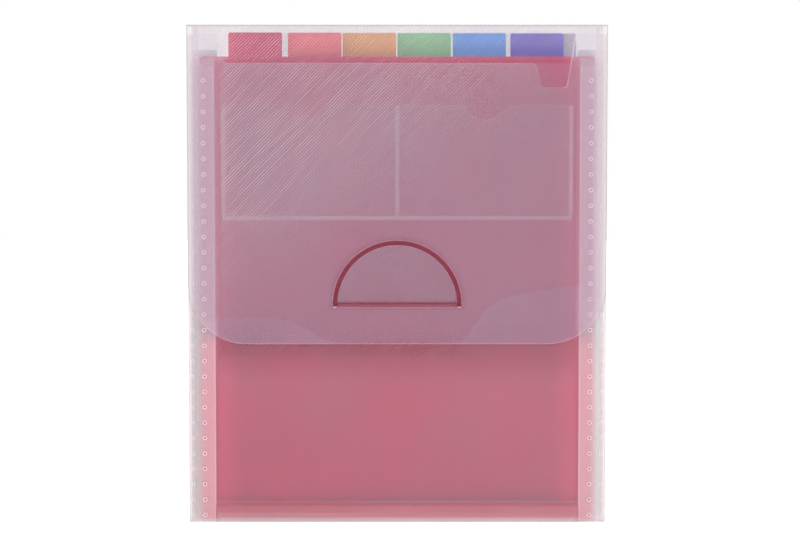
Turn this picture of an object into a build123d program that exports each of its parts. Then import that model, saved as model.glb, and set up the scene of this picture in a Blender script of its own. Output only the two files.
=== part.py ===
from build123d import *
import os

# Accordion file of sheet polypropylene, standing upright with its front towards -Y.
# Origin on the ground, in the middle of the footprint; +X to the right, +Z up. Millimetres.

# Cover: one sheet creased into back, base, front, top strip and flap
case_width = 268.0
case_height = 320.0
cover_thickness = 0.5
crease_clearance = 0.05
front_ground_clearance = 0.1

# Pockets, from the front panel to the back panel
divider_names = ["red", "salmon", "orange", "green", "blue", "violet"]
pocket_gap = 4.6
divider_thickness = 0.3
divider_side_inset = 7.5
divider_bottom = 5.0
divider_drop = 20.0
divider_corner_radius = 2.0

# Stepped tabs on the dividers
tab_height = 15.3
tab_row_inset = 26.4
tab_gap = 1.5
tab_shifts = [-0.4, 1.6, 0.8, 0.2, 0.1, 1.8]
tab_corner_radius = 1.2

# Front panel: scooped top edge, finger notch at the right, slit for the tongue
wing_drop = 5.8
wing_corner_radius = 3.0
scoop_left_inset = 18.6
scoop_right_inset = 20.0
scoop_depth = 18.8
scoop_left_lean = 4.6
scoop_right_lean = 5.6
notch_width = 25.6
notch_depth = 15.3
notch_left_lean = 3.7
scoop_corner_radius = 2.6
slit_rise = 25.0
slit_side_clearance = 1.6
slit_width = 2.3
slit_end_radius = 1.6

# Flap over the front panel, with the hole that the tongue is cut from
flap_clearance = 1.2
flap_drop = 204.0
flap_corner_radius = 37.0
tongue_groove = 3.3
tongue_hole_corner_radius = 1.2

# Tongue: creased on the flap below the slit, passes through it and lies behind the front panel
tongue_radius = 38.3
tongue_thickness = 0.4
tongue_clearance = 0.35
tongue_crease_drop = 1.5

# Card pockets on the front panel
card_pocket_side_inset = 21.3
card_pocket_drop = 51.0
card_pocket_height = 73.7
card_pocket_thickness = 0.2
card_pocket_corner_radius = 1.5
card_pocket_count = 2
thumb_notch_radius = 14.7
thumb_notch_depth = 9.6

# Gussets: one pleat for each pocket and side
gusset_thickness = 0.25
gusset_flange_inset = 17.0
gusset_crease_inset = 0.4
gusset_cover_fold_inset = 2.5
gusset_divider_fold_margin = 1.0
gusset_floor_gap = 1.0
gusset_drop = 15.6

# Clear sheet on the inside of the back panel
rear_sheet_thickness = 0.3
rear_sheet_side_gap = 0.5
rear_tab_width = 31.5

# Cutting tools run this far past what they cut
overrun = 5.0

# Places that follow from the sizes
half_width = case_width / 2
half_cover = cover_thickness / 2
divider_count = len(divider_names)
pocket_count = divider_count + 1
cover_depth = 3 * cover_thickness + flap_clearance
case_depth = cover_depth + pocket_count * pocket_gap + divider_count * divider_thickness
flap_y = half_cover - case_depth / 2
front_y = flap_y + cover_thickness + flap_clearance
back_y = case_depth / 2 - half_cover
top_crease_z = case_height - half_cover
divider_top = case_height - divider_drop
divider_half_width = half_width - divider_side_inset
tab_top = divider_top + tab_height
tab_row_right = half_width - tab_row_inset
tab_pitch = 2 * tab_row_right / divider_count
front_crease_z = half_cover + front_ground_clearance
wing_top = case_height - wing_drop
scoop_left = scoop_left_inset - half_width
scoop_right = half_width - scoop_right_inset
flap_bottom = case_height - flap_drop
slit_z = flap_bottom + slit_rise
slit_length = 2 * (tongue_radius + slit_side_clearance)
tongue_y = front_y + half_cover + tongue_clearance + tongue_thickness / 2
tongue_crease_z = slit_z - tongue_crease_drop
tongue_hole_radius = tongue_radius + tongue_groove
card_pocket_top = case_height - card_pocket_drop
card_half_width = half_width - card_pocket_side_inset
gusset_bottom = cover_thickness + gusset_floor_gap
gusset_top = case_height - gusset_drop
flange_edge = half_width - gusset_flange_inset
pleat_crease = half_width - gusset_crease_inset


def divider_y(number):
    """Middle of a divider's thickness, counted from 1 at the front."""
    return front_y + half_cover + number * pocket_gap + (number - 0.5) * divider_thickness


def tab_left(number):
    """Left edge of a divider's tab, moved by the divider's own shift in the stack."""
    return (number - 1) * tab_pitch - tab_row_right + tab_shifts[number - 1]


def block(left, right, bottom, top):
    """Flat rectangle between four limits."""
    return Pos((left + right) / 2, (bottom + top) / 2) * Rectangle(right - left, top - bottom)


def upper_corners(outline):
    return outline.vertices().group_by(Axis.Y)[-1]


def lower_corners(outline):
    return outline.vertices().group_by(Axis.Y)[0]


def standing_sheet(outline, middle_y, thickness):
    """An outline drawn in X and Z, thickened to both sides of a plane at middle_y."""
    return Pos(0, middle_y, 0) * extrude(Plane.XZ * outline, thickness / 2, both=True)


def rolled_edge(length, middle_y, height, thickness):
    """Full-round edge of a sheet, on the line that it creases or swings about."""
    return Pos(0, middle_y, height) * Rot(0, 90, 0) * Cylinder(thickness / 2, length)


def half_disc(radius, straight_edge, lower_edge):
    """Half disc over a straight edge, carried down to a lower edge at full width."""
    upper_half = block(-radius, radius, straight_edge, straight_edge + radius)
    lower_strip = block(-radius, radius, lower_edge, straight_edge)
    return (Pos(0, straight_edge) * Circle(radius) & upper_half) + lower_strip


# Back of the cover
def make_back_panel():
    outline = block(-half_width, half_width, cover_thickness, top_crease_z)
    return standing_sheet(outline, back_y, cover_thickness) + rolled_edge(
        case_width, back_y, top_crease_z, cover_thickness
    )


# Strip under the pockets, from the front crease to the rear face
def make_base_panel():
    front_edge = front_y + half_cover + crease_clearance
    rear_edge = back_y + half_cover
    return extrude(block(-half_width, half_width, front_edge, rear_edge), cover_thickness)


# Strip over the top, between the rolled edges of back and flap
def make_spine_panel():
    front_edge = flap_y + half_cover + crease_clearance
    rear_edge = back_y - half_cover - crease_clearance
    strip = extrude(block(-half_width, half_width, front_edge, rear_edge), cover_thickness)
    return Pos(0, 0, case_height - cover_thickness) * strip


# Flap with rounded lower corners and the half-disc hole
def make_flap():
    outline = block(-half_width, half_width, flap_bottom, top_crease_z)
    outline = fillet(lower_corners(outline), flap_corner_radius)
    hole_bottom = tongue_crease_z - tongue_thickness / 2 - crease_clearance
    hole = half_disc(tongue_hole_radius, slit_z, hole_bottom)
    hole = fillet(lower_corners(hole), tongue_hole_corner_radius)
    return standing_sheet(outline - hole, flap_y, cover_thickness) + rolled_edge(
        case_width, flap_y, top_crease_z, cover_thickness
    )


# Half-round tongue with a cranked root that leads it through the slit
def make_closure_tongue():
    rise = tongue_crease_drop * (tongue_y - flap_y) / (front_y - flap_y)
    crank = Vector(tongue_y - flap_y, rise)
    slope = Vector(1, 0).get_angle(crank)
    root = Pos(flap_y + crank.X / 2, tongue_crease_z + crank.Y / 2)
    tip_length = slit_z + tongue_radius + overrun - tongue_crease_z - rise
    stem = Pos(tongue_y, tongue_crease_z + rise + tip_length / 2)
    section = root * Rot(0, 0, slope) * SlotCenterToCenter(crank.length, tongue_thickness)
    section += stem * Rot(0, 0, 90) * SlotCenterToCenter(tip_length, tongue_thickness)
    ribbon = extrude(Plane.YZ * section, tongue_radius, both=True)
    outline = half_disc(tongue_radius, slit_z, tongue_crease_z - tongue_thickness)
    return ribbon & standing_sheet(outline, front_y, 2 * case_depth)


# Front of the cover
def scoop():
    """Cut-out over the front panel: a wide scoop with a deeper finger notch at its right end."""
    floor = wing_top - scoop_depth
    notch_floor = floor - notch_depth
    above = wing_top + overrun
    cut = make_face(
        Polyline(
            (scoop_left, above),
            (scoop_left, wing_top),
            (scoop_left + scoop_left_lean, floor),
            (scoop_right - notch_width, floor),
            (scoop_right - notch_width + notch_left_lean, notch_floor),
            (scoop_right - scoop_right_lean, notch_floor),
            (scoop_right, wing_top),
            (scoop_right, above),
            close=True,
        )
    )
    inner = cut.vertices().filter_by(lambda corner: corner.Y < wing_top - scoop_depth / 2)
    return fillet(inner, scoop_corner_radius)


def slit():
    """Straight slit with a round relief hole at each end."""
    ends = [Pos(side * slit_length / 2, 0) * Circle(slit_end_radius) for side in (-1, 1)]
    return Pos(0, slit_z) * (Rectangle(slit_length, slit_width) + ends)


def make_front_panel():
    outline = block(-half_width, half_width, front_crease_z, wing_top)
    outline = fillet(upper_corners(outline), wing_corner_radius)
    return standing_sheet(outline - scoop() - slit(), front_y, cover_thickness) + rolled_edge(
        case_width, front_y, front_crease_z, cover_thickness
    )


# Card pockets: one thin sheet welded on the outside of the front panel, open at the top
def make_card_pocket():
    card_pocket_bottom = card_pocket_top - card_pocket_height
    outline = block(-card_half_width, card_half_width, card_pocket_bottom, card_pocket_top)
    outline = fillet(outline.vertices(), card_pocket_corner_radius)
    pocket_width = 2 * card_half_width / card_pocket_count
    notch_z = card_pocket_top + thumb_notch_radius - thumb_notch_depth
    for number in range(card_pocket_count):
        notch_x = (number + 0.5) * pocket_width - card_half_width
        outline -= Pos(notch_x, notch_z) * Circle(thumb_notch_radius)
    return standing_sheet(outline, front_y - half_cover - card_pocket_thickness / 2, card_pocket_thickness)


# Dividers
def make_divider(number):
    swing_z = divider_bottom + divider_thickness / 2
    sheet = block(-divider_half_width, divider_half_width, swing_z, divider_top)
    sheet = fillet(upper_corners(sheet), divider_corner_radius)
    tab = block(tab_left(number), tab_left(number) + tab_pitch - tab_gap, swing_z, tab_top)
    tab = fillet(upper_corners(tab), tab_corner_radius)
    middle_y = divider_y(number)
    return standing_sheet(sheet + tab, middle_y, divider_thickness) + rolled_edge(
        2 * divider_half_width, middle_y, swing_z, divider_thickness
    )


# Clear sheet against the back panel, with a tab at its right end
def make_rear_pocket_sheet():
    side = flange_edge - rear_sheet_side_gap
    sheet = block(-side, side, cover_thickness, divider_top)
    tab = block(side - rear_tab_width, side, cover_thickness, tab_top)
    tab = fillet(upper_corners(tab), tab_corner_radius)
    return standing_sheet(sheet + tab, back_y - half_cover - rear_sheet_thickness / 2, rear_sheet_thickness)


# Gussets: a pleat's two flanges lie on the sheets in front of and behind its pocket,
# and its legs meet at a crease near the outer edge of the case
def make_pleat(number, side):
    front_face = front_y + half_cover + (number - 1) * (pocket_gap + divider_thickness)
    rear_face = front_face + pocket_gap
    cover_fold = half_width - gusset_cover_fold_inset
    divider_fold = divider_half_width + gusset_divider_fold_margin
    front_fold = cover_fold if number == 1 else divider_fold
    rear_fold = cover_fold if number == pocket_count else divider_fold
    mouth = flange_edge - overrun
    body = make_face(
        Polyline(
            (mouth, front_face),
            (front_fold, front_face),
            (pleat_crease, (front_face + rear_face) / 2),
            (rear_fold, rear_face),
            (mouth, rear_face),
            close=True,
        )
    )
    skin = body - offset(body, -gusset_thickness, kind=Kind.INTERSECTION)
    section = skin & block(flange_edge, half_width, front_face, rear_face)
    pleat = Pos(0, 0, gusset_bottom) * extrude(section, gusset_top - gusset_bottom)
    return pleat if side == "right" else mirror(pleat, Plane.YZ)


nodes = {
    "back_panel": make_back_panel(),
    "base_panel": make_base_panel(),
    "spine_panel": make_spine_panel(),
    "flap": make_flap(),
    "closure_tongue": make_closure_tongue(),
    "front_panel": make_front_panel(),
    "card_pocket": make_card_pocket(),
    "rear_pocket_sheet": make_rear_pocket_sheet(),
}
for number, name in enumerate(divider_names, start=1):
    nodes[f"{name}_divider"] = make_divider(number)
for side in ("left", "right"):
    for number in range(1, pocket_count + 1):
        nodes[f"gusset_{side}_{number}"] = make_pleat(number, side)

os.makedirs("parts", exist_ok=True)
for node, shape in nodes.items():
    export_step(shape, f"parts/{node}.step")
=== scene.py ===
"""Accordion file folder in frosted sheet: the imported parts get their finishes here, and the pleats,
weld marks, seams and cut edges are modelled on them."""

import math

import bmesh
import bpy
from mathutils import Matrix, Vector


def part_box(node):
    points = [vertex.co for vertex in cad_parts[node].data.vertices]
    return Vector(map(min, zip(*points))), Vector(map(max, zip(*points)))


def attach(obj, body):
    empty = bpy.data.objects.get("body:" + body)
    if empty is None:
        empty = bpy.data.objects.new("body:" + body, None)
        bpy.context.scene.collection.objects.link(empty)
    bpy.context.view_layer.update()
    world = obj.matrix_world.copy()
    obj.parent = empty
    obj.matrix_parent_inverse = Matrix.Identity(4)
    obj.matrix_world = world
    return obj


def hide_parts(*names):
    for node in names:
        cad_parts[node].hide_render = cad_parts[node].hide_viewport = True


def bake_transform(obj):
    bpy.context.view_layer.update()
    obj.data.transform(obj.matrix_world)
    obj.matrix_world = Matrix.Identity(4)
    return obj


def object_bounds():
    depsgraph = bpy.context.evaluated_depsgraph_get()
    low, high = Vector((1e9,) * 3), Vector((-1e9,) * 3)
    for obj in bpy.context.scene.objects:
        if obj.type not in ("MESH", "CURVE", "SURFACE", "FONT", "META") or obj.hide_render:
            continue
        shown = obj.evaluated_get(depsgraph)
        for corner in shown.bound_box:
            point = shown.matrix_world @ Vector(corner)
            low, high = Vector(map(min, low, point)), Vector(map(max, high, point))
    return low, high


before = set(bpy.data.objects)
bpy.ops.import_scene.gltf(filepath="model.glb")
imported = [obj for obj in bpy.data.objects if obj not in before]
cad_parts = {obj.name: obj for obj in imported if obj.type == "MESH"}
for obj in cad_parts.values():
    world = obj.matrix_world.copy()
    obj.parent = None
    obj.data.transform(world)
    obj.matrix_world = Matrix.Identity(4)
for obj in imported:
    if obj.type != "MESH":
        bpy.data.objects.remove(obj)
cad_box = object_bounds()

MM = 0.001
LEAVES = ["red", "salmon", "orange", "green", "blue", "violet"]
POCKETS = len(LEAVES) + 1
SHEET = 0.5 * MM

# Places on the sheets: heights above the ground and distances from the middle
SLIT_Z, SLIT_END_X, SLIT_END_RADIUS = 141 * MM, 39.9 * MM, 1.6 * MM
FLAP_EDGE_Z = 114 * MM
TABS_FOOT_Z, TABS_MIDDLE_Z, TABS_TOP_Z = 300 * MM, 306 * MM, 314 * MM
PANEL_SIDE_X, SHEET_SIDE_X = 117 * MM, 132.5 * MM
WELD_ROW_X, OUTER_WELD_ROW_X = 124 * MM, 131.5 * MM
FIRST_WELD_Z, WELD_PITCH = 4.7 * MM, 10 * MM
CREASE_FOOT_Z, CREASE_TOP_Z = 1 * MM, 4 * MM

# Numbers of a Mix node's colour sockets
MIX_FIRST, MIX_SECOND, MIX_RESULT = 6, 7, 2

flap_low, flap_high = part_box("flap")
front_low, front_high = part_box("front_panel")
back_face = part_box("back_panel")[1].y
card_low, card_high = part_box("card_pocket")


# Handling

def put_down():
    """Leaves edit mode and lets go of everything."""
    if bpy.context.object and bpy.context.object.mode != "OBJECT":
        bpy.ops.object.mode_set(mode="OBJECT")
    bpy.ops.object.select_all(action="DESELECT")


def pick_up(piece):
    put_down()
    piece.select_set(True)
    bpy.context.view_layer.objects.active = piece


def start_piece(name):
    """Names the primitive that was just added and goes into edit mode with nothing selected."""
    piece = bpy.context.object
    piece.name = piece.data.name = name
    pick_up(piece)
    bpy.ops.object.transform_apply(location=True, rotation=True, scale=True)
    bpy.ops.object.mode_set(mode="EDIT")
    bpy.ops.mesh.select_all(action="DESELECT")
    return piece


def pick(piece, kind, test):
    """Selects the faces or edges of the piece in edit mode that pass the test, which gets a face's middle
    and normal, or an edge's middle and run."""
    bpy.ops.mesh.select_mode(type={"faces": "FACE", "edges": "EDGE"}[kind])
    bpy.ops.mesh.select_all(action="DESELECT")
    mesh = bmesh.from_edit_mesh(piece.data)
    for part in getattr(mesh, kind):
        if kind == "faces":
            chosen = test(part.calc_center_median(), part.normal)
        else:
            first, last = [v.co for v in part.verts]
            chosen = test((first + last) / 2, last - first)
        if chosen:
            part.select_set(True)
    mesh.select_flush_mode()
    bmesh.update_edit_mesh(piece.data)


def modify(piece, kind, **settings):
    """Adds a modifier and applies it."""
    pick_up(piece)
    modifier = piece.modifiers.new(kind.lower(), kind)
    for key, value in settings.items():
        setattr(modifier, key, value)
    bpy.ops.object.modifier_apply(modifier=modifier.name)


def tidy_faces(piece):
    pick_up(piece)
    bpy.ops.object.mode_set(mode="EDIT")
    bpy.ops.mesh.select_all(action="SELECT")
    bpy.ops.mesh.remove_doubles(threshold=1e-7)
    bpy.ops.mesh.normals_make_consistent(inside=False)
    put_down()


def finish_piece(piece, material, rides_on=None):
    """Smooths the piece, gives it its finish and sets it on its body."""
    sharpest_smoothed = math.radians(40)
    pick_up(piece)
    bpy.ops.object.shade_smooth_by_angle(angle=sharpest_smoothed)
    piece.data.materials.clear()
    piece.data.materials.append(material)
    if rides_on:
        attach(piece, rides_on)
    put_down()


def copy_sheet(name, node_name):
    """A new piece with a copy of a carried-over sheet's mesh."""
    piece = bpy.data.objects.new(name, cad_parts[node_name].data.copy())
    bpy.context.scene.collection.objects.link(piece)
    return piece


def repeat(piece, count, step):
    """Repeats the piece in a row."""
    modify(piece, "ARRAY", count=count, use_relative_offset=False, use_constant_offset=True,
           constant_offset_displace=step)


# Finishes

def start_finish(name):
    material = bpy.data.materials.new(name)
    material.use_nodes = True
    return material, material.node_tree, material.node_tree.nodes["Principled BSDF"]


def node(tree, kind, values=None, **settings):
    made = tree.nodes.new(kind)
    for key, value in settings.items():
        setattr(made, key, value)
    for key, value in (values or {}).items():
        made.inputs[key].default_value = value
    return made


def join(tree, output, entry):
    tree.links.new(output, entry)


def maths(tree, operation, first, second, third=None, clamp=False):
    """A Math node; each value is a socket or a number."""
    made = node(tree, "ShaderNodeMath", operation=operation, use_clamp=clamp)
    for place, value in enumerate((first, second, third)):
        if value is None:
            continue
        if isinstance(value, (int, float)):
            made.inputs[place].default_value = value
        else:
            join(tree, value, made.inputs[place])
    return made.outputs[0]


def spread(tree, value, low, high, to_low=0.0, to_high=1.0, curve="SMOOTHSTEP"):
    """Stretches a value from one range to another, held at the ends."""
    ranges = {1: low, 2: high, 3: to_low, 4: to_high}
    made = node(tree, "ShaderNodeMapRange", ranges, interpolation_type=curve)
    join(tree, value, made.inputs[0])
    return made.outputs[0]


def from_noise(tree, noise, to_low=0.0, to_high=1.0):
    """Stretches the middle of a noise, where most of it lies, to a range."""
    return spread(tree, noise, 0.3, 0.7, to_low, to_high)


def away_from(tree, value, centre=None):
    """How far a value lies from a centre, or from zero."""
    off = maths(tree, "SUBTRACT", value, centre) if centre else value
    return maths(tree, "ABSOLUTE", off, 0.0)


def within(tree, across, full, end, beyond=0.0):
    """1 up to a distance from the middle, falling to what is left beyond a longer one."""
    return spread(tree, away_from(tree, across), full, end, 1.0, beyond)


def both(tree, first, second):
    """Two masks multiplied."""
    return maths(tree, "MULTIPLY", first, second)


def between(tree, share, first, second):
    """A colour between two, by a share."""
    made = node(tree, "ShaderNodeMix", data_type="RGBA")
    join(tree, share, made.inputs["Factor"])
    for socket, colour in ((made.inputs[MIX_FIRST], first), (made.inputs[MIX_SECOND], second)):
        if isinstance(colour, tuple):
            socket.default_value = (*colour, 1)
        else:
            join(tree, colour, socket)
    return made.outputs[MIX_RESULT]


def along_axes(tree):
    """Place on the sheet along X, Y and Z, in metres."""
    place = node(tree, "ShaderNodeTexCoord")
    axes = node(tree, "ShaderNodeSeparateXYZ")
    join(tree, place.outputs["Object"], axes.inputs[0])
    return axes.outputs


def on_sheet(tree, turn=0.0, stretch=(1, 1, 1)):
    """Place on the sheet in metres, turned in its own plane and then stretched."""
    place = node(tree, "ShaderNodeTexCoord")
    turned = node(tree, "ShaderNodeMapping", {"Rotation": (0, turn, 0)})
    stretched = node(tree, "ShaderNodeMapping", {"Scale": stretch})
    join(tree, place.outputs["Object"], turned.inputs["Vector"])
    join(tree, turned.outputs["Vector"], stretched.inputs["Vector"])
    return stretched.outputs["Vector"]


def clouds(tree, size, detail=2.0, roughness=0.5, stretch=(1, 1, 1), turn=0.0):
    """Soft patches of about the given size in metres, 0 to 1."""
    made = node(tree, "ShaderNodeTexNoise", {"Scale": 1 / size, "Detail": detail, "Roughness": roughness})
    join(tree, on_sheet(tree, turn, stretch), made.inputs["Vector"])
    return made.outputs["Fac"]


def rolled_lines(tree, pitch):
    """The fine slanting lines that the sheet's roller leaves: 0 between them, up to 1 on them, some
    fainter."""
    slant = -math.pi / 4
    waviness = {"Scale": math.pi / 10 / pitch, "Distortion": 0.7, "Detail": 1.0, "Detail Scale": 0.35}
    made = node(tree, "ShaderNodeTexWave", waviness, wave_type="BANDS", bands_direction="X")
    join(tree, on_sheet(tree, slant), made.inputs["Vector"])
    ridges = spread(tree, made.outputs["Fac"], 0.65, 1.0)
    along_lines = clouds(tree, 3 * MM, stretch=(1, 1, 0.1), turn=slant)
    worn = spread(tree, along_lines, 0.35, 0.65, 0.55, 1.0)
    return both(tree, ridges, worn)


def relief(tree, shader, height, depth, strength=1.0):
    bump = node(tree, "ShaderNodeBump", {"Strength": strength, "Distance": depth})
    join(tree, height, bump.inputs["Height"])
    join(tree, bump.outputs["Normal"], shader.inputs["Normal"])


# FROST's pink cast is painted light: it stands in for the red light that the frost scatters back from the
# dyed sheet behind it.
FROST = (0.75, 0.53, 0.69)
RIM = (0.75, 0.69, 0.71)
LINE_PITCH, LEAF_LINE_PITCH = 1.55 * MM, 1.5 * MM
LINE_COVER, LINE_PALENESS, UNDRAWN = 0.2, 0.8, 0.03
RIM_COVER, UNEVEN_COVER, UNEVEN_HAZE = 0.3, 0.1, 0.12
RELIEF_DEPTH = 0.03 * MM


def paled(colour, share):
    """A dye let down with white."""
    return tuple(c + (1 - c) * share for c in colour)


def dulled(colour, share):
    """A colour let down with black."""
    return tuple(c * (1 - share) for c in colour)


def painted_dye_light(dye):
    """Painted light: a milky film's colour lifted towards the dye of the sheet behind it, for the dyed light
    it scatters.
    """
    milk, most = 0.36, 0.95
    return tuple(min(most, milk + most * c) for c in dye)


def frosted_sheet(name, haze, patch, contact_and_shade=None, drawn=None, colour=FROST, near_and_shade_colour=None, near_and_shade_haze=0.5,
                  line_colour=None, rim=None, rim_colour=RIM, over=None, over_colour=None, over_haze=1.4):
    """Frosted see-through sheet. Its haze changes in its near zone, where it lies close to what is behind it
    or where a painted shade is laid on, deepens into a painted shade or a painted glow in its over zone, and
    thickens on its rim. Its slanting rolled lines show where the drawn mask lets them, and soft patches and
    fine frost break up the rest."""
    material, tree, shader = start_finish(name)
    patches = from_noise(tree, clouds(tree, patch))
    near_and_shade = contact_and_shade(tree) if contact_and_shade else patches
    shown = both(tree, rolled_lines(tree, LINE_PITCH), drawn(tree) if drawn else UNDRAWN)
    frost = clouds(tree, 0.5 * MM, roughness=0.6)
    film = between(tree, near_and_shade, colour, near_and_shade_colour or colour)
    if over:
        painted_share = over(tree)
        hold = 2.5
        film = between(tree, maths(tree, "MULTIPLY", painted_share, hold, clamp=True), film, over_colour)
    if rim:
        thick = rim(tree)
        film = between(tree, thick, film, rim_colour)
    lined = between(tree, shown, film, line_colour or paled(colour, LINE_PALENESS))
    join(tree, lined, shader.inputs["Base Color"])
    join(tree, from_noise(tree, frost, 0.4, 0.55), shader.inputs["Roughness"])
    shader.inputs["Specular IOR Level"].default_value = 0.25
    ridges = maths(tree, "MULTIPLY_ADD", shown, 0.6, maths(tree, "MULTIPLY", frost, 0.4))
    relief(tree, shader, ridges, RELIEF_DEPTH, 0.5)
    mottled = spread(tree, patches, 0.0, 1.0, (1 - UNEVEN_HAZE) * haze, (1 + UNEVEN_HAZE) * haze)
    amount = both(tree, mottled, maths(tree, "MULTIPLY_ADD", near_and_shade, near_and_shade_haze - 1.0, 1.0))
    if over:
        amount = both(tree, amount, maths(tree, "MULTIPLY_ADD", painted_share, over_haze - 1.0, 1.0))
    if rim:
        amount = maths(tree, "MULTIPLY_ADD", thick, RIM_COVER, amount)
    join(tree, maths(tree, "MULTIPLY_ADD", shown, LINE_COVER, amount, clamp=True), shader.inputs["Alpha"])
    return material


def side_rim(tree):
    """1 along the two upright sides of a cover panel."""
    return spread(tree, away_from(tree, along_axes(tree)[0]), SHEET_SIDE_X - 3.5 * MM, SHEET_SIDE_X)


def front_rim(tree):
    """The sides of the front panel, and its lower crease between the pleats."""
    across, _, up = along_axes(tree)
    inside = within(tree, across, PANEL_SIDE_X - 3 * MM, PANEL_SIDE_X + 1 * MM)
    crease = both(tree, spread(tree, up, CREASE_FOOT_Z, CREASE_TOP_Z, 0.7, 0.0), inside)
    return maths(tree, "MAXIMUM", side_rim(tree), crease)


def fold_dye_glow(tree):
    """The foot of the front panel between the pleats, painted with a red glow: painted light that stands in
    for the light the dyed sheets in the fold scatter onto it."""
    across, _, up = along_axes(tree)
    inside = within(tree, across, PANEL_SIDE_X - 1 * MM, PANEL_SIDE_X + 0.6 * MM)
    above_crease = spread(tree, up, CREASE_FOOT_Z, CREASE_TOP_Z, 0.35, 1.0)
    glow_full_to, glow_gone = 8 * MM, 15 * MM
    foot = both(tree, above_crease, spread(tree, up, glow_full_to, glow_gone, 1.0, 0.0))
    return both(tree, foot, inside)


def over_front(tree):
    """1 where the flap covers the front panel, 0 over the pleats and the tabs; there the flap is painted
    darker and denser, a painted shade for the shade of the file behind it.
    """
    across, _, up = along_axes(tree)
    inside = within(tree, across, PANEL_SIDE_X - 7 * MM, PANEL_SIDE_X)
    return both(tree, inside, spread(tree, up, TABS_FOOT_Z - 6 * MM, TABS_FOOT_Z, 1.0, 0.0))


def flap_close(tree):
    """0 where the flap's lower corners stand off, with a wavy limit, 1 where it lies against the front
    panel, and more where the tabs press on it."""
    across, _, up = along_axes(tree)
    limit = node(tree, "ShaderNodeFloatCurve")
    join(tree, spread(tree, across, flap_low.x, flap_high.x, curve="LINEAR"), limit.inputs["Value"])
    points = limit.mapping.curves[0].points
    points[0].location, points[1].location = (0.0, 0.43), (1.0, 0.78)
    for share_across, share_up in ((0.23, 0.44), (0.34, 0.24), (0.50, 0.15), (0.64, 0.24), (0.75, 0.63)):
        points.new(share_across, share_up)
    limit.mapping.update()
    lowest, range_up = 100 * MM, 70 * MM
    limit_height = maths(tree, "MULTIPLY_ADD", limit.outputs[0], range_up, lowest)
    lies = spread(tree, maths(tree, "SUBTRACT", up, limit_height), -2 * MM, 3 * MM)
    beside_tabs = within(tree, across, PANEL_SIDE_X - 11 * MM, PANEL_SIDE_X - 6 * MM)
    pressed = spread(tree, away_from(tree, up, TABS_MIDDLE_Z), 8 * MM, 13 * MM, 0.85, 0.0)
    return maths(tree, "MULTIPLY_ADD", pressed, beside_tabs, lies)


def flap_drawn(tree):
    """Where the flap's rolled lines show: most at the upper left and on the tabs, hardly at the lower right
    or over the pleats."""
    across, _, up = along_axes(tree)
    lean, faint_to, full_from = -0.7, 180 * MM, 300 * MM
    slope = spread(tree, maths(tree, "MULTIPLY_ADD", across, lean, up), faint_to, full_from, 0.1, 0.8)
    on_tabs = spread(tree, up, TABS_FOOT_Z + 2 * MM, TABS_FOOT_Z + 8 * MM)
    inside = within(tree, across, PANEL_SIDE_X - 5 * MM, PANEL_SIDE_X, 0.1)
    return both(tree, maths(tree, "MAXIMUM", slope, on_tabs), inside)


def tongue_and_flap_edge_shade(tree):
    """Painted shade on the front panel: a dark half-round patch above its slit round the tongue, and a
    fainter band along the flap's lower edge."""
    across, _, up = along_axes(tree)
    shade_radius, edge_share = 42 * MM, 0.45
    rise = maths(tree, "SUBTRACT", up, SLIT_Z)
    squared = maths(tree, "MULTIPLY_ADD", across, across, maths(tree, "MULTIPLY", rise, rise))
    reach = spread(tree, maths(tree, "SQRT", squared, 0.0), shade_radius, shade_radius + 4 * MM, 1.0, 0.0)
    tongue_shade = both(tree, reach, spread(tree, rise, -4 * MM, -2 * MM))
    from_edge = away_from(tree, up, FLAP_EDGE_Z - 2 * MM)
    inside = within(tree, across, PANEL_SIDE_X - 3 * MM, PANEL_SIDE_X)
    flap_edge_shade = both(tree, spread(tree, from_edge, 4 * MM, 24 * MM, edge_share, 0.0), inside)
    return maths(tree, "MAXIMUM", tongue_shade, flap_edge_shade)


def front_drawn(tree):
    """The front panel's lines show as a dark hatching along the flap's lower edge, but not at its right."""
    across, _, up = along_axes(tree)
    on_left = both(tree, spread(tree, across, -PANEL_SIDE_X, -PANEL_SIDE_X + 3 * MM),
                   spread(tree, across, 30 * MM, 60 * MM, 1.0, 0.1))
    return both(tree, spread(tree, away_from(tree, up, FLAP_EDGE_Z), 4 * MM, 9 * MM, 0.9, 0.0), on_left)


def shade_behind_tabs(tree):
    """1 on the strip of the back that the tabs lie against, painted darker there as a painted shade between
    the tabs.
    """
    across, _, up = along_axes(tree)
    inside = within(tree, across, PANEL_SIDE_X - 13 * MM, PANEL_SIDE_X - 8 * MM)
    over_foot = spread(tree, up, TABS_FOOT_Z - 1 * MM, TABS_FOOT_Z + 1 * MM)
    strip = both(tree, over_foot, spread(tree, up, TABS_TOP_Z, TABS_TOP_Z + 3 * MM, 1.0, 0.0))
    return both(tree, strip, inside)


def back_drawn(tree):
    """The back's rolled lines show more towards its top."""
    return spread(tree, along_axes(tree)[2], 0.0, TABS_FOOT_Z, 0.2, 0.5)


def tongue_root_shade(tree):
    """1 on the cranked root of the tongue, where it passes through the slit, painted dark red there as a
    painted shade of the slit.
    """
    return spread(tree, along_axes(tree)[2], SLIT_Z + 0.2 * MM, SLIT_Z + 1.6 * MM, 1.0, 0.0)


def clear_film(name, colour, haze, streaked):
    """Thin clear film with faint stretch marks and a breath of haze."""
    material, tree, shader = start_finish(name)
    streaks = clouds(tree, 12 * MM, detail=3.0, roughness=0.55, stretch=(1, 1, 0.15))
    frost = clouds(tree, 0.4 * MM)
    join(tree, between(tree, streaks, colour, dulled(colour, 0.06)), shader.inputs["Base Color"])
    join(tree, from_noise(tree, frost, 0.25, 0.35), shader.inputs["Roughness"])
    cover = from_noise(tree, streaks, (1 - streaked) * haze, (1 + streaked) * haze)
    join(tree, cover, shader.inputs["Alpha"])
    relief(tree, shader, streaks, 0.1 * MM, 0.3)
    return material


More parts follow.
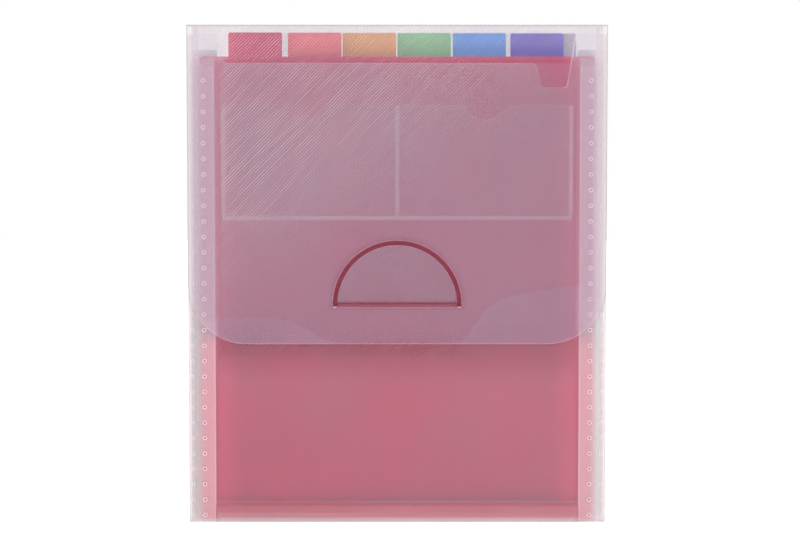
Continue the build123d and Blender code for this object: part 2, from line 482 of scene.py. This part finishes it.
def gusset_film(name, dye_light):
    """Soft milky film of a pleat, with faint upright drawing lines, painted paler at the right of the file,
    where the light falls more. Its flanges carry painted light from the dyed sheet they are welded to,
    painted shade under the flap, and a cut edge painted brighter as a painted highlight."""
    material, tree, shader = start_finish(name)
    across, _, up = along_axes(tree)
    streaks = clouds(tree, 4 * MM, detail=3.0, roughness=0.6, stretch=(1, 1, 0.03))
    flange = within(tree, across, PANEL_SIDE_X + 6 * MM, PANEL_SIDE_X + 14 * MM)
    cut = within(tree, across, PANEL_SIDE_X + 0.4 * MM, PANEL_SIDE_X + 1.4 * MM)
    lit_side = spread(tree, across, -1 * MM, 1 * MM)
    shaded_left_milky = between(tree, streaks, (0.80, 0.72, 0.73), (0.74, 0.66, 0.67))
    lit_right_milky = between(tree, streaks, (0.95, 0.91, 0.91), (0.90, 0.85, 0.85))
    milky = between(tree, lit_side, shaded_left_milky, lit_right_milky)
    # Painted shade: the flange colour darkened under the flap.
    shaded = tuple(c * share for c, share in zip(dye_light, (0.74, 0.94, 0.98)))
    under_flap = spread(tree, up, FLAP_EDGE_Z - 2 * MM, FLAP_EDGE_Z + 12 * MM)
    welded = between(tree, under_flap, dye_light, shaded)
    join(tree, between(tree, flange, milky, welded), shader.inputs["Base Color"])
    flange_cover, cut_cover = 0.26, 0.2
    cover = maths(tree, "MULTIPLY_ADD", flange, flange_cover, from_noise(tree, streaks, 0.18, 0.25))
    cover = maths(tree, "MULTIPLY_ADD", cut, cut_cover, cover)
    fading = spread(tree, up, TABS_FOOT_Z - 10 * MM, TABS_FOOT_Z + 4.4 * MM, 1.0, 0.1)
    join(tree, both(tree, cover, fading), shader.inputs["Alpha"])
    shader.inputs["Roughness"].default_value = 0.5
    shader.inputs["Specular IOR Level"].default_value = 0.25
    relief(tree, shader, streaks, 0.05 * MM, 0.3)
    return material


def coloured_sheet(name, colour):
    """Dyed divider sheet: fine rolled lines, soft mottling of the dye, a little light through it, and sides
    painted brighter, a painted light for the light that comes in through the pleats."""
    material, tree, shader = start_finish(name)
    lines = rolled_lines(tree, LEAF_LINE_PITCH)
    mottle = clouds(tree, 50 * MM, detail=3.0, roughness=0.55)
    grain = clouds(tree, 0.5 * MM)
    mixed = maths(tree, "MULTIPLY_ADD", mottle, 0.7, maths(tree, "MULTIPLY", grain, 0.3))
    dyed = between(tree, from_noise(tree, mixed), colour, dulled(colour, 0.1))
    lit_sides = spread(tree, away_from(tree, along_axes(tree)[0]), PANEL_SIDE_X - 19 * MM, PANEL_SIDE_X)
    painted_side_light = 1.25
    lit = tuple(min(1.0, painted_side_light * c) for c in colour)
    join(tree, between(tree, lit_sides, dyed, lit), shader.inputs["Base Color"])
    shader.inputs["Transmission Weight"].default_value = 0.2
    shader.inputs["IOR"].default_value = 1.2
    join(tree, from_noise(tree, grain, 0.4, 0.55), shader.inputs["Roughness"])
    ridges = maths(tree, "MULTIPLY_ADD", lines, 0.5, maths(tree, "MULTIPLY", grain, 0.5))
    relief(tree, shader, ridges, RELIEF_DEPTH, 0.5)
    return material


def cut_edge_finish(name, colour, cover):
    """The cut edge of a sheet: pale, partly a painted highlight for the light the edge gathers; in dark
    colours the same finish makes painted shades.
    """
    material, tree, shader = start_finish(name)
    nicks = clouds(tree, 1.5 * MM, detail=3.0, roughness=0.6)
    join(tree, between(tree, nicks, colour, dulled(colour, 0.15)), shader.inputs["Base Color"])
    join(tree, from_noise(tree, nicks, 0.22, 0.4), shader.inputs["Roughness"])
    join(tree, from_noise(tree, nicks, cover - UNEVEN_COVER, cover + UNEVEN_COVER), shader.inputs["Alpha"])
    relief(tree, shader, nicks, 0.05 * MM, 0.4)
    return material


def weld_finish(name, colour, cover):
    """Melted weld marks: glossier and denser than the sheet round them."""
    material, tree, shader = start_finish(name)
    ripples = clouds(tree, 0.6 * MM)
    join(tree, between(tree, ripples, colour, dulled(colour, 0.2)), shader.inputs["Base Color"])
    join(tree, from_noise(tree, ripples, 0.18, 0.35), shader.inputs["Roughness"])
    join(tree, from_noise(tree, ripples, cover - UNEVEN_COVER, cover + UNEVEN_COVER), shader.inputs["Alpha"])
    relief(tree, shader, ripples, 0.06 * MM, 0.5)
    return material


def floor_finish():
    material, tree, shader = start_finish("white_table")
    grain = clouds(tree, 20 * MM)
    join(tree, between(tree, grain, (0.93, 0.93, 0.93), (0.9, 0.9, 0.9)), shader.inputs["Base Color"])
    shader.inputs["Roughness"].default_value = 0.8
    shader.inputs["Specular IOR Level"].default_value = 0.1
    shader.inputs["Emission Color"].default_value = (1, 1, 1, 1)
    shader.inputs["Emission Strength"].default_value = 0.55
    return material


# The flap's over zone colour is a painted shade.
flap_finish = frosted_sheet("frosted_flap", haze=0.18, patch=70 * MM, contact_and_shade=flap_close, drawn=flap_drawn,
                            near_and_shade_haze=0.64, rim=side_rim,
                            over=over_front, over_colour=(0.44, 0.29, 0.41), over_haze=1.65)
# The front's dark near colour is painted shade round the tongue and under the flap's edge.
front_finish = frosted_sheet("frosted_front", haze=0.085, patch=110 * MM, contact_and_shade=tongue_and_flap_edge_shade, drawn=front_drawn,
                             colour=(0.50, 0.62, 0.66), near_and_shade_colour=(0.10, 0.07, 0.09), near_and_shade_haze=1.75,
                             line_colour=(0.10, 0.03, 0.05), rim=front_rim, rim_colour=(0.72, 0.60, 0.62),
                             over=fold_dye_glow, over_colour=(0.55, 0.21, 0.26), over_haze=8.0)
# The back's dull grey colour is partly painted shade for the inside of the file.
back_finish = frosted_sheet("frosted_back", haze=0.27, patch=90 * MM, drawn=back_drawn,
                            colour=(0.43, 0.37, 0.39), rim=side_rim,
                            over=shade_behind_tabs, over_colour=(0.40, 0.31, 0.37))
spine_finish = frosted_sheet("frosted_spine", haze=0.24, patch=70 * MM, colour=(0.44, 0.43, 0.40))
base_finish = frosted_sheet("frosted_base", haze=0.35, patch=50 * MM, colour=(0.60, 0.40, 0.44))
# The tongue's pink is partly painted light like FROST's, and its root is painted shade.
tongue_finish = frosted_sheet("frosted_tongue", haze=0.3, patch=50 * MM, contact_and_shade=tongue_root_shade,
                              colour=(0.74, 0.51, 0.67), near_and_shade_colour=(0.46, 0.16, 0.24), near_and_shade_haze=1.4)
pocket_finish = clear_film("clear_card_pocket", (0.56, 0.58, 0.66), haze=0.062, streaked=0.2)
rear_finish = clear_film("clear_rear_pocket", (0.31, 0.31, 0.47), haze=0.5, streaked=0.05)
edge_finish = cut_edge_finish("pale_cut_edge", (0.95, 0.82, 0.86), cover=0.35)
edge_highlight_finish = cut_edge_finish("painted_highlight_edge", (0.95, 0.84, 0.90), cover=0.6)
crease_shade_finish = cut_edge_finish("crease_painted_shade", (0.40, 0.36, 0.36), cover=0.65)
side_edge_finish = cut_edge_finish("grey_side_edge", (0.55, 0.54, 0.56), cover=0.5)
weld_ring_finish = weld_finish("weld_ring", (1.0, 0.84, 0.88), cover=0.6)
faint_ring_finish = weld_finish("faint_weld_ring", (0.98, 0.94, 0.94), cover=0.28)
weld_core_finish = weld_finish("weld_core", (0.40, 0.15, 0.21), cover=0.65)
hole_finish = cut_edge_finish("shaded_hole", (0.28, 0.004, 0.014), cover=0.9)
glint_finish = cut_edge_finish("painted_glint_rim", (1.0, 0.97, 0.97), cover=0.8)
seam_finish = weld_finish("seam_weld", (0.96, 0.87, 0.92), cover=0.48)

LEAF_COLOURS = {
    "red": (0.575, 0.062, 0.135),
    "salmon": (0.80, 0.16, 0.18),
    "orange": (0.80, 0.40, 0.15),
    "green": (0.25, 0.64, 0.31),
    "blue": (0.10, 0.42, 1.0),
    "violet": (0.17, 0.165, 0.74),
}
CLEAR_LEAF = (0.85, 0.80, 0.82)


def dress_sheets():
    """Gives each carried-over sheet its finish."""
    finishes = {"flap": flap_finish, "front_panel": front_finish, "back_panel": back_finish,
                "base_panel": base_finish, "spine_panel": spine_finish, "closure_tongue": tongue_finish}
    for leaf in LEAVES:
        finishes[leaf + "_divider"] = coloured_sheet(leaf + "_dyed_sheet", LEAF_COLOURS[leaf])
    for name, material in finishes.items():
        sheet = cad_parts[name]
        sheet.data.materials.clear()
        sheet.data.materials.append(material)


# Welded films

def lay_film(name, node_name, body, material):
    """A welded film laid a hair clear of the panel that carries it, so that light passes between the two."""
    lift = 0.06 * MM
    piece = copy_sheet(name, node_name)
    tidy_faces(piece)
    pick_up(piece)
    bpy.ops.mesh.customdata_custom_splitnormals_clear()
    bpy.ops.transform.translate(value=(0, -lift, 0))
    bpy.ops.object.transform_apply(location=True)
    finish_piece(piece, material, body)
    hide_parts(node_name)


# Pleats

def make_pleat(side, number, material):
    """One pleat: a flange on the sheet in front, a V out to the side, and a flange on the sheet behind."""
    name = f"gusset_{side}_{number}"
    low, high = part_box(name)
    out = -1 if side == "left" else 1
    film, front_gap, rear_gap, crease_gap = 0.2 * MM, 0.125 * MM, 0.2 * MM, 0.2 * MM
    cover_fold, leaf_fold, fold_round = 2.1 * MM, 6.0 * MM, 0.3 * MM
    same_place, upright = 1e-6, 100 * MM
    front_y, rear_y = low.y + front_gap, high.y - rear_gap
    crease = (low.x if out < 0 else high.x) - out * crease_gap
    flange = high.x if out < 0 else low.x
    front_fold = crease - out * (cover_fold if number == 1 else leaf_fold)
    rear_fold = crease - out * (cover_fold if number == POCKETS else leaf_fold)

    put_down()
    bpy.ops.mesh.primitive_plane_add(size=1, rotation=(math.pi / 2, 0, 0))
    bpy.ops.transform.resize(value=(abs(front_fold - flange), 1, high.z - low.z))
    bpy.ops.transform.translate(value=((front_fold + flange) / 2, front_y, (low.z + high.z) / 2))
    piece = start_piece(f"pleat_{side}_{number}")
    edge, depth = front_fold, front_y
    for next_edge, next_depth in ((crease, (front_y + rear_y) / 2), (rear_fold, rear_y), (flange, rear_y)):
        pick(piece, "edges", lambda mid, along: abs(mid.x - edge) < same_place
             and abs(mid.y - depth) < same_place)
        bpy.ops.mesh.extrude_edges_move(
            TRANSFORM_OT_translate={"value": (next_edge - edge, next_depth - depth, 0)})
        edge, depth = next_edge, next_depth
    pick(piece, "edges", lambda mid, along: abs(along.z) > upright and abs(mid.x - flange) > 10 * same_place)
    bpy.ops.mesh.bevel(offset=fold_round, segments=3, affect="EDGES")
    modify(piece, "SOLIDIFY", thickness=film, offset=0)
    tidy_faces(piece)

    finish_piece(piece, material)
    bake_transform(piece)
    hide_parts(name)


# Weld marks

def start_disc(name, radius, sides, place):
    """A flat disc that faces the front, in edit mode and all selected."""
    put_down()
    bpy.ops.mesh.primitive_circle_add(vertices=sides, radius=radius, fill_type="NGON",
                                      rotation=(math.pi / 2, 0, 0), location=place)
    piece = start_piece(name)
    bpy.ops.mesh.select_all(action="SELECT")
    return piece


def make_weld_dots(name, body, face_y, out, row_x, height, material, radius, hole):
    """A row of round weld marks up each side of a cover panel: rings, or discs where the hole is nothing."""
    rise, sides = 0.12 * MM, 16
    count = int((height - FIRST_WELD_Z) / WELD_PITCH)
    piece = start_disc(name, radius, sides, (row_x, face_y + out * rise, FIRST_WELD_Z))
    # The second inset stops a little short, so that a disc keeps a middle
    for part in (2, 2.1):
        bpy.ops.mesh.inset(thickness=(radius - hole) / part, depth=0)
    if hole:
        bpy.ops.mesh.delete(type="FACE")
    put_down()
    modify(piece, "SOLIDIFY", thickness=rise, offset=0)
    repeat(piece, count, (0, 0, WELD_PITCH))
    modify(piece, "MIRROR", use_axis=(True, False, False))
    tidy_faces(piece)
    finish_piece(piece, material, body)


def make_seam(name, start, step, count, long_axis):
    """A line of short welded bars along the edge of the card pocket."""
    long_side, short_side, rise = 2.6 * MM, 0.55 * MM, 0.12 * MM
    shoulder, crown = 0.15 * MM, 0.06 * MM
    size = (long_side, rise, short_side) if long_axis == "x" else (short_side, rise, long_side)
    put_down()
    bpy.ops.mesh.primitive_cube_add(size=1, location=start)
    bpy.ops.transform.resize(value=size)
    piece = start_piece(name)
    pick(piece, "faces", lambda mid, normal: normal.y < -0.9)
    bpy.ops.mesh.inset(thickness=shoulder, depth=crown)
    put_down()
    repeat(piece, count, step)
    tidy_faces(piece)
    finish_piece(piece, seam_finish, "front")


def make_card_pocket_seams():
    """Welded seams down both sides, down the middle and along the bottom of the card pocket."""
    pitch, inset, corner, lift = 1.5 * MM, 1.6 * MM, 2 * MM, 0.07 * MM
    y = card_low.y - lift
    middle = (card_low.x + card_high.x) / 2
    rise = card_high.z - card_low.z
    for name, x in (("left", card_low.x + inset), ("middle", middle), ("right", card_high.x - inset)):
        make_seam("card_seam_" + name, (x, y, card_low.z + inset + corner), (0, 0, pitch),
                  int((rise - inset - 1.5 * corner) / pitch) + 1, "x")
    run = card_high.x - card_low.x - 2 * inset
    make_seam("card_seam_bottom", (card_low.x + inset, y, card_low.z + inset), (pitch, 0, 0),
              int(run / pitch) + 1, "z")


# Cut edges

def in_tongue_hole(mid):
    """True on the rim of the half-round hole in the flap."""
    low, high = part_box("closure_tongue")
    rim = 6 * MM
    return low.x - rim < mid.x < high.x + rim and low.z - rim < mid.z < high.z + rim


def round_slit_end(mid):
    """True on the rim of the round hole at either end of the front panel's slit."""
    return math.hypot(abs(mid.x) - SLIT_END_X, mid.z - SLIT_Z) < SLIT_END_RADIUS + 0.2 * MM


def on_slit(mid):
    """True on the two long edges of the front panel's slit."""
    return abs(mid.z - SLIT_Z) < SLIT_END_RADIUS and abs(mid.x) < SLIT_END_X and not round_slit_end(mid)


def right_scoop_edge(mid):
    """True on the leaning right edge of the front panel's scoop."""
    return PANEL_SIDE_X - 11 * MM < mid.x < PANEL_SIDE_X - 1 * MM and mid.z > SLIT_Z + 100 * MM


def make_cut_edge(name, node_name, body, radius, keep, material=edge_finish):
    """A fine bead along the cut edge of a sheet's front face, where the keep test says so."""
    piece = copy_sheet(name, node_name)
    pick_up(piece)
    bpy.ops.object.mode_set(mode="EDIT")
    bpy.ops.mesh.select_all(action="SELECT")
    bpy.ops.mesh.remove_doubles(threshold=1e-6)
    pick(piece, "faces", lambda mid, normal: normal.y < -0.99)
    bpy.ops.mesh.region_to_loop()
    shaped = bmesh.from_edit_mesh(piece.data)
    for edge in shaped.edges:
        if edge.select and not keep((edge.verts[0].co + edge.verts[1].co) / 2):
            edge.select_set(False)
    shaped.select_flush_mode()
    bmesh.update_edit_mesh(piece.data)
    bpy.ops.mesh.duplicate()
    bpy.ops.mesh.select_all(action="INVERT")
    bpy.ops.mesh.delete(type="VERT")
    put_down()
    pick_up(piece)
    bpy.ops.object.convert(target="CURVE")
    piece.data.bevel_depth = radius
    piece.data.bevel_resolution = 1
    piece.data.use_fill_caps = True
    bpy.ops.object.convert(target="MESH")
    finish_piece(bpy.context.object, material, body)


def make_relief_hole_shades():
    """Painted shade: a dark red dished disc behind the round hole at each end of the front panel's slit, for
    the deep shade seen through it.
    """
    radius, depth, film, sides = SLIT_END_RADIUS, 0.3 * MM, 0.06 * MM, 24
    piece = start_disc("relief_hole_shades", radius, sides, (SLIT_END_X, front_low.y + SHEET + film, SLIT_Z))
    bpy.ops.mesh.inset(thickness=0.25 * radius, depth=0)
    bpy.ops.mesh.extrude_region_move(TRANSFORM_OT_translate={"value": (0, depth, 0)})
    bpy.ops.mesh.inset(thickness=0.2 * radius, depth=0)
    put_down()
    modify(piece, "SOLIDIFY", thickness=film, offset=0)
    modify(piece, "MIRROR", use_axis=(True, False, False))
    tidy_faces(piece)
    finish_piece(piece, hole_finish, "front")


# Table, light, camera

def set_table():
    width, gap = 6, 0.3 * MM
    put_down()
    bpy.ops.mesh.primitive_plane_add(size=width, location=(0, 0, cad_box[0].z - gap))
    table = bpy.context.object
    table.name = "white_table"
    table.data.materials.append(floor_finish())


def add_softbox(name, place, aim, size, power):
    put_down()
    bpy.ops.object.light_add(type="AREA", location=place)
    lamp = bpy.context.object
    lamp.name = name
    lamp.data.shape = "RECTANGLE"
    lamp.data.size, lamp.data.size_y = size
    lamp.data.energy = power
    lamp.rotation_euler = (Vector(aim) - Vector(place)).to_track_quat("-Z", "Y").to_euler()


def set_light():
    """White studio all round, a little brighter behind the object than the light that falls on it."""
    world = bpy.data.worlds.new("white_studio")
    bpy.context.scene.world = world
    world.use_nodes = True
    tree = world.node_tree
    seen = tree.nodes["Background"]
    path = node(tree, "ShaderNodeLightPath")
    dimming = 0.15
    scattered = maths(tree, "MINIMUM", path.outputs["Diffuse Depth"], 1.0)
    lit = maths(tree, "MULTIPLY_ADD", scattered, -dimming, 1.0)
    seen.inputs["Color"].default_value = (1, 1, 1, 1)
    join(tree, lit, seen.inputs["Strength"])
    add_softbox("key_softbox", place=(0.35, -1.4, 1.3), aim=(0, 0, 0.16), size=(1.6, 0.9), power=7)


def set_camera():
    distance, tilt = 1.6, math.radians(4.26)
    aim = Vector((1.8 * MM, 0, 159.3 * MM))
    lens = bpy.data.cameras.new("photo_camera")
    camera = bpy.data.objects.new("photo_camera", lens)
    bpy.context.scene.collection.objects.link(camera)
    lens.sensor_fit, lens.sensor_width, lens.lens = "HORIZONTAL", 36.0, 111.0
    camera.location = aim + distance * Vector((0, -math.cos(tilt), math.sin(tilt)))
    camera.rotation_euler = (math.pi / 2 - tilt, 0, 0)
    bpy.context.scene.camera = camera


# Making

set_camera()
set_light()
set_table()
dress_sheets()
for number in range(1, POCKETS + 1):
    # The flange colour is painted light from each dyed sheet.
    dye = painted_dye_light(LEAF_COLOURS[LEAVES[number - 1]]) if number < POCKETS else CLEAR_LEAF
    film = gusset_film(f"milky_pleat_{number}", dye)
    for side in ("left", "right"):
        make_pleat(side, number, film)
lay_film("card_pocket_film", "card_pocket", "front", pocket_finish)
lay_film("rear_pocket_film", "rear_pocket_sheet", "back", rear_finish)

weld_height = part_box("gusset_left_1")[1].z
for body, face_y, out in (("front", front_low.y, -1), ("back", back_face, 1)):
    for kind, row_x, finish, radius, hole in (
            ("weld_rings", WELD_ROW_X, weld_ring_finish, 1.45 * MM, 0.75 * MM),
            ("weld_cores", WELD_ROW_X, weld_core_finish, 0.6 * MM, 0),
            ("faint_weld_rings", OUTER_WELD_ROW_X, faint_ring_finish, 1.3 * MM, 0.6 * MM)):
        make_weld_dots(f"{body}_{kind}", body, face_y, out, row_x, weld_height, finish, radius, hole)
make_card_pocket_seams()

side_start, crease_start = flap_low.z + 19 * MM, flap_high.z - 2 * MM
fold_top, front_side = front_low.z + 3 * MM, front_high.x - 1 * MM
glint_top = SLIT_Z - 0.75 * SLIT_END_RADIUS
tongue_crease_z, thumb_notch_foot = SLIT_Z + 1 * MM, card_high.z - 14 * MM
make_cut_edge("flap_cut_edge", "flap", "flap", 0.13 * MM,
              lambda mid: mid.z < side_start and not in_tongue_hole(mid))
make_cut_edge("flap_side_edges", "flap", "flap", 0.22 * MM,
              lambda mid: side_start < mid.z < crease_start and not in_tongue_hole(mid), side_edge_finish)
# Painted shade: a dark grey bead along the flap's top crease.
make_cut_edge("flap_crease", "flap", "flap", 0.3 * MM, lambda mid: mid.z > crease_start, crease_shade_finish)
make_cut_edge("tongue_hole_cut_edge", "flap", "flap", 0.12 * MM, in_tongue_hole)
make_cut_edge("front_cut_edge", "front_panel", "front", 0.14 * MM,
              lambda mid: mid.z > fold_top and abs(mid.x) < front_side and not round_slit_end(mid)
              and not on_slit(mid) and not right_scoop_edge(mid))
# Painted shade: dark beads along the slit's two long edges.
make_cut_edge("slit_shades", "front_panel", "front", 0.3 * MM, on_slit, hole_finish)
# Painted highlight: a brighter bead on the scoop's right edge.
make_cut_edge("scoop_right_edge", "front_panel", "front", 0.25 * MM, right_scoop_edge, edge_highlight_finish)
# Painted glint: a near-white bead along the lower rim of each round slit end.
make_cut_edge("relief_hole_glints", "front_panel", "front", 0.22 * MM,
              lambda mid: round_slit_end(mid) and mid.z < glint_top, glint_finish)
make_cut_edge("front_side_edges", "front_panel", "front", 0.22 * MM,
              lambda mid: mid.z > fold_top and abs(mid.x) > front_side, side_edge_finish)
make_relief_hole_shades()
make_cut_edge("tongue_cut_edge", "closure_tongue", "tongue", 0.12 * MM, lambda mid: mid.z > tongue_crease_z)
make_cut_edge("card_pocket_cut_edge", "card_pocket", "front", 0.1 * MM,
              lambda mid: mid.z > thumb_notch_foot)

bpy.context.scene.view_settings.view_transform = "Standard"
bpy.context.scene.cycles.max_bounces = 16
bpy.context.scene.cycles.transmission_bounces = 12
bpy.context.scene.cycles.transparent_max_bounces = 64

put_down()
bpy.context.view_layer.update()
